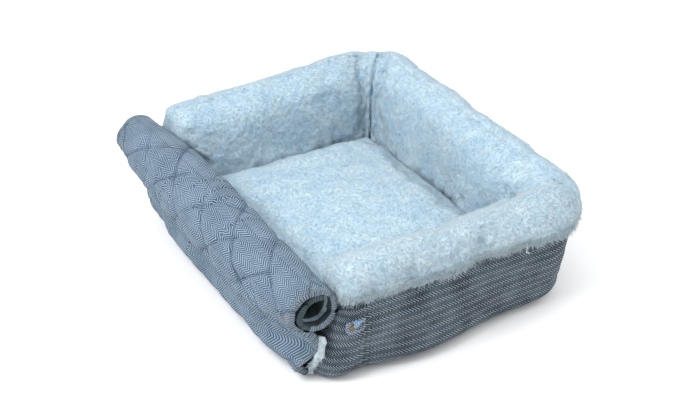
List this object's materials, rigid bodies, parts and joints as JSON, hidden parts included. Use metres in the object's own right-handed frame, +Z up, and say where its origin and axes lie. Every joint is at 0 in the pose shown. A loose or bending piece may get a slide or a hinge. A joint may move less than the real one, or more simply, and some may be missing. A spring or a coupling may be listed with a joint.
{
  "type": "pet cushion bed",
  "caption": "Soft pet bed with three stuffed plush walls, a loose seat cushion and a quilted denim flap rolled up along its open side.",
  "frame": {"origin": "middle of the underside of the base, on the floor", "axes": "+X towards the right wall, opposite the rolled flap; +Y towards the back wall; +Z up"},
  "size_m": [0.5966, 0.6675, 0.2219],
  "materials": {
    "plush": "soft short-pile plush, light blue",
    "denim": "herringbone-woven cotton denim, blue-grey and off-white",
    "filling": "white polyester fibre",
    "bottom_cloth": "plain dark woven base cloth",
    "copper_snap": "antique copper press-stud, satin"
  },
  "bodies": {
    "bed": {"base_bottom_cloth": "bottom_cloth", "base_filling": "filling", "base_deck_cloth": "plush", "left_side_panel": "denim", "flap_root_welt": "denim", "apron_denim": "denim", "apron_plush": "plush", "front_denim_panel": "denim", "front_plush_cover": "plush", "front_wall_filling": "filling", "front_end_cap": "plush", "front_stud": "copper_snap", "right_denim_panel": "denim", "right_plush_cover": "plush", "right_wall_filling": "filling", "back_denim_panel": "denim", "back_plush_cover": "plush", "back_wall_filling": "filling", "back_end_cap": "plush", "back_stud": "copper_snap"},
    "seat_cushion": {"seat_plush_top": "plush", "seat_filling": "filling", "seat_underside": "bottom_cloth"},
    "front_tab": {"front_tab": "denim", "front_snap_cap": "copper_snap"},
    "back_tab": {"back_tab": "denim", "back_snap_cap": "copper_snap"},
    "flap_01": {"flap_denim_01": "denim", "flap_plush_01": "plush"},
    "flap_02": {"flap_denim_02": "denim", "flap_plush_02": "plush", "flap_front_snap": "copper_snap", "flap_back_snap": "copper_snap"},
    "flap_03": {"flap_denim_03": "denim", "flap_plush_03": "plush"},
    "flap_04": {"flap_denim_04": "denim", "flap_plush_04": "plush"},
    "flap_05": {"flap_denim_05": "denim", "flap_plush_05": "plush"},
    "flap_06": {"flap_denim_06": "denim", "flap_plush_06": "plush"},
    "flap_07": {"flap_denim_07": "denim", "flap_plush_07": "plush"},
    "flap_08": {"flap_denim_08": "denim", "flap_plush_08": "plush", "flap_end_binding": "denim"}
  },
  "joints": [
    {"name": "seat_lift", "type": "slide", "parent": "bed", "child": "seat_cushion", "axis": [0, 0, 1], "range_m": [0, 0.25]},
    {"name": "front_tab_fold", "type": "hinge", "parent": "bed", "child": "front_tab", "pos_m": [-0.172, -0.32304, 0.10663], "axis": [0, -0.0965, 0.9953], "range_deg": [0, 100]},
    {"name": "back_tab_fold", "type": "hinge", "parent": "bed", "child": "back_tab", "pos_m": [-0.172, 0.33161, 0.10617], "axis": [0, -0.2194, -0.9756], "range_deg": [0, 100]},
    {"name": "flap_root", "type": "hinge", "parent": "bed", "child": "flap_01", "pos_m": [-0.27453, 0, 0.07351], "axis": [0, -1, 0], "range_deg": [0, 57]},
    {"name": "flap_bend_02", "type": "hinge", "parent": "flap_01", "child": "flap_02", "pos_m": [-0.31357, 0, 0.12583], "axis": [0, -1, 0], "range_deg": [0, 64.4]},
    {"name": "flap_bend_03", "type": "hinge", "parent": "flap_02", "child": "flap_03", "pos_m": [-0.29029, 0, 0.18345], "axis": [0, -1, 0], "range_deg": [0, 66.4]},
    {"name": "flap_bend_04", "type": "hinge", "parent": "flap_03", "child": "flap_04", "pos_m": [-0.23104, 0, 0.18552], "axis": [0, -1, 0], "range_deg": [0, 68.4]},
    {"name": "flap_bend_05", "type": "hinge", "parent": "flap_04", "child": "flap_05", "pos_m": [-0.20809, 0, 0.13397], "axis": [0, -1, 0], "range_deg": [0, 70.4]},
    {"name": "flap_bend_06", "type": "hinge", "parent": "flap_05", "child": "flap_06", "pos_m": [-0.24663, 0, 0.09675], "axis": [0, -1, 0], "range_deg": [0, 72.4]},
    {"name": "flap_bend_07", "type": "hinge", "parent": "flap_06", "child": "flap_07", "pos_m": [-0.2914, 0, 0.12056], "axis": [0, -1, 0], "range_deg": [0, 74.4]},
    {"name": "flap_bend_08", "type": "hinge", "parent": "flap_07", "child": "flap_08", "pos_m": [-0.28145, 0, 0.16737], "axis": [0, -1, 0], "range_deg": [0, 76.4]}
  ],
  "couplings": [
    {"joint": "flap_bend_02", "follows": "flap_root", "ratio": 1.1228},
    {"joint": "flap_bend_03", "follows": "flap_root", "ratio": 1.1579},
    {"joint": "flap_bend_04", "follows": "flap_root", "ratio": 1.193},
    {"joint": "flap_bend_05", "follows": "flap_root", "ratio": 1.2281},
    {"joint": "flap_bend_06", "follows": "flap_root", "ratio": 1.2632},
    {"joint": "flap_bend_07", "follows": "flap_root", "ratio": 1.2982},
    {"joint": "flap_bend_08", "follows": "flap_root", "ratio": 1.3333}
  ]
}
